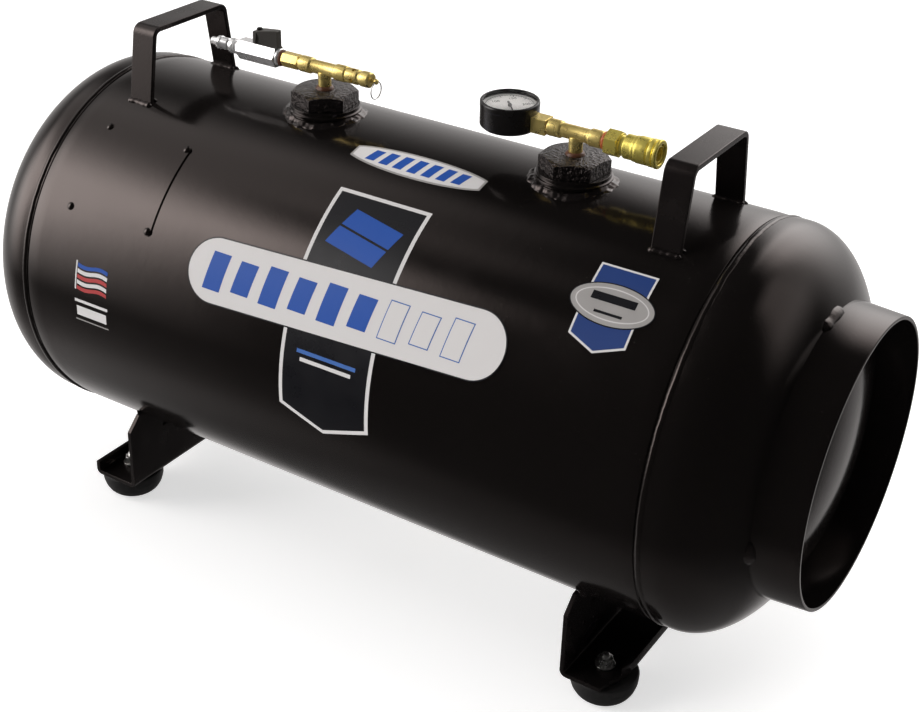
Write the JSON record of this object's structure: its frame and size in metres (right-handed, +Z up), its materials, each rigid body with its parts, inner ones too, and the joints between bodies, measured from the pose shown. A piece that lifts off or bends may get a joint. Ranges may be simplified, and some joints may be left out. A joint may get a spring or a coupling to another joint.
{
  "type": "air receiver tank",
  "caption": "Horizontal cylindrical air receiver with dished heads, carrying handles, guard ring, top valve and gauge fittings, quick coupler and rubber-footed brackets.",
  "frame": {"origin": "on the floor under the middle of the overall length, below the tank's axis", "axes": "+Z up, +X along the tank towards the guard ring, -Y towards the front with the data plate"},
  "size_m": [0.8476, 0.3556, 0.4781],
  "materials": {
    "black_paint": "gloss black powder coat",
    "rough_black": "painted over, rough",
    "black_plastic": "moulded, dark grey",
    "brass": "turned, bright",
    "chrome": "plated",
    "steel": "zinc plated",
    "rubber": "moulded black",
    "white_dial": "matt white",
    "clear": "clear",
    "nylon": "natural nylon"
  },
  "bodies": {
    "tank": {"ball_valve_body": "chrome", "bourdon_tube": "brass", "bung_left": "rough_black", "bung_right": "rough_black", "coupler_body": "brass", "coupler_poppet_spring": "steel", "coupler_sleeve_spring": "steel", "data_plate": "black_paint", "drain_bung": "black_paint", "drain_cock_body": "brass", "foot_bolt_back_left": "steel", "foot_bolt_back_right": "steel", "foot_bolt_front_left": "steel", "foot_bolt_front_right": "steel", "foot_bracket_left": "black_paint", "foot_bracket_right": "black_paint", "foot_nut_back_left": "steel", "foot_nut_back_right": "steel", "foot_nut_front_left": "steel", "foot_nut_front_right": "steel", "foot_washer_back_left": "steel", "foot_washer_back_right": "steel", "foot_washer_front_left": "steel", "foot_washer_front_right": "steel", "gauge_case": "black_plastic", "gauge_dial": "white_dial", "gauge_lens": "clear", "gauge_socket": "brass", "guard_ring": "black_paint", "handle_left": "black_paint", "handle_right": "black_paint", "head_left": "black_paint", "head_right": "black_paint", "inlet_plug": "chrome", "reducing_bushing_left": "rough_black", "reducing_bushing_right": "rough_black", "relief_spring": "steel", "relief_valve_body": "brass", "rubber_foot_back_left": "rubber", "rubber_foot_back_right": "rubber", "rubber_foot_front_left": "rubber", "rubber_foot_front_right": "rubber", "tank_shell": "black_paint", "tee_left": "brass", "tee_right": "brass", "valve_nipple": "brass", "valve_seat_left": "nylon", "valve_seat_right": "nylon"},
    "valve_handle": {"valve_lever": "black_plastic", "lever_screw": "steel", "valve_stem": "chrome", "valve_ball": "chrome"},
    "relief_stem": {"relief_valve_stem": "steel"},
    "pull_ring": {"pull_ring": "steel"},
    "coupler_sleeve": {"coupler_sleeve": "brass"},
    "coupler_poppet": {"coupler_poppet": "brass"},
    "gauge_pointer": {"gauge_pointer": "black_plastic"},
    "drain_screw": {"drain_wing_screw": "brass"}
  },
  "joints": [
    {"name": "valve_turn", "type": "hinge", "parent": "tank", "child": "valve_handle", "pos_m": [-0.1817, 0, 0.4535], "axis": [0, 0, 1], "range_deg": [0, 90]},
    {"name": "relief_lift", "type": "slide", "parent": "tank", "child": "relief_stem", "axis": [1, 0, 0], "range_m": [0, 0.0025], "stiffness_N_per_m": 600, "springref_m": -0.004, "deforming": ["relief_spring"]},
    {"name": "ring_swing", "type": "hinge", "parent": "relief_stem", "child": "pull_ring", "pos_m": [-0.0532, 0, 0.4535], "axis": [0, -1, 0], "range_deg": [-20, 120]},
    {"name": "sleeve_slide", "type": "slide", "parent": "tank", "child": "coupler_sleeve", "axis": [-1, 0, 0], "range_m": [0, 0.003], "stiffness_N_per_m": 800, "springref_m": -0.003, "deforming": ["coupler_sleeve_spring"]},
    {"name": "poppet_slide", "type": "slide", "parent": "tank", "child": "coupler_poppet", "axis": [-1, 0, 0], "range_m": [0, 0.004], "stiffness_N_per_m": 300, "springref_m": -0.003, "deforming": ["coupler_poppet_spring"]},
    {"name": "pointer_sweep", "type": "hinge", "parent": "tank", "child": "gauge_pointer", "pos_m": [0.0828, 0, 0.4535], "axis": [0, 0.0262, -0.9997], "range_deg": [0, 270], "stiffness_Nm_per_rad": 0.00005, "springref_deg": -17.19},
    {"name": "drain_turn", "type": "hinge", "parent": "tank", "child": "drain_screw", "pos_m": [0.0178, 0, 0.031], "axis": [0, 0, 1], "range_deg": [0, 360]}
  ]
}
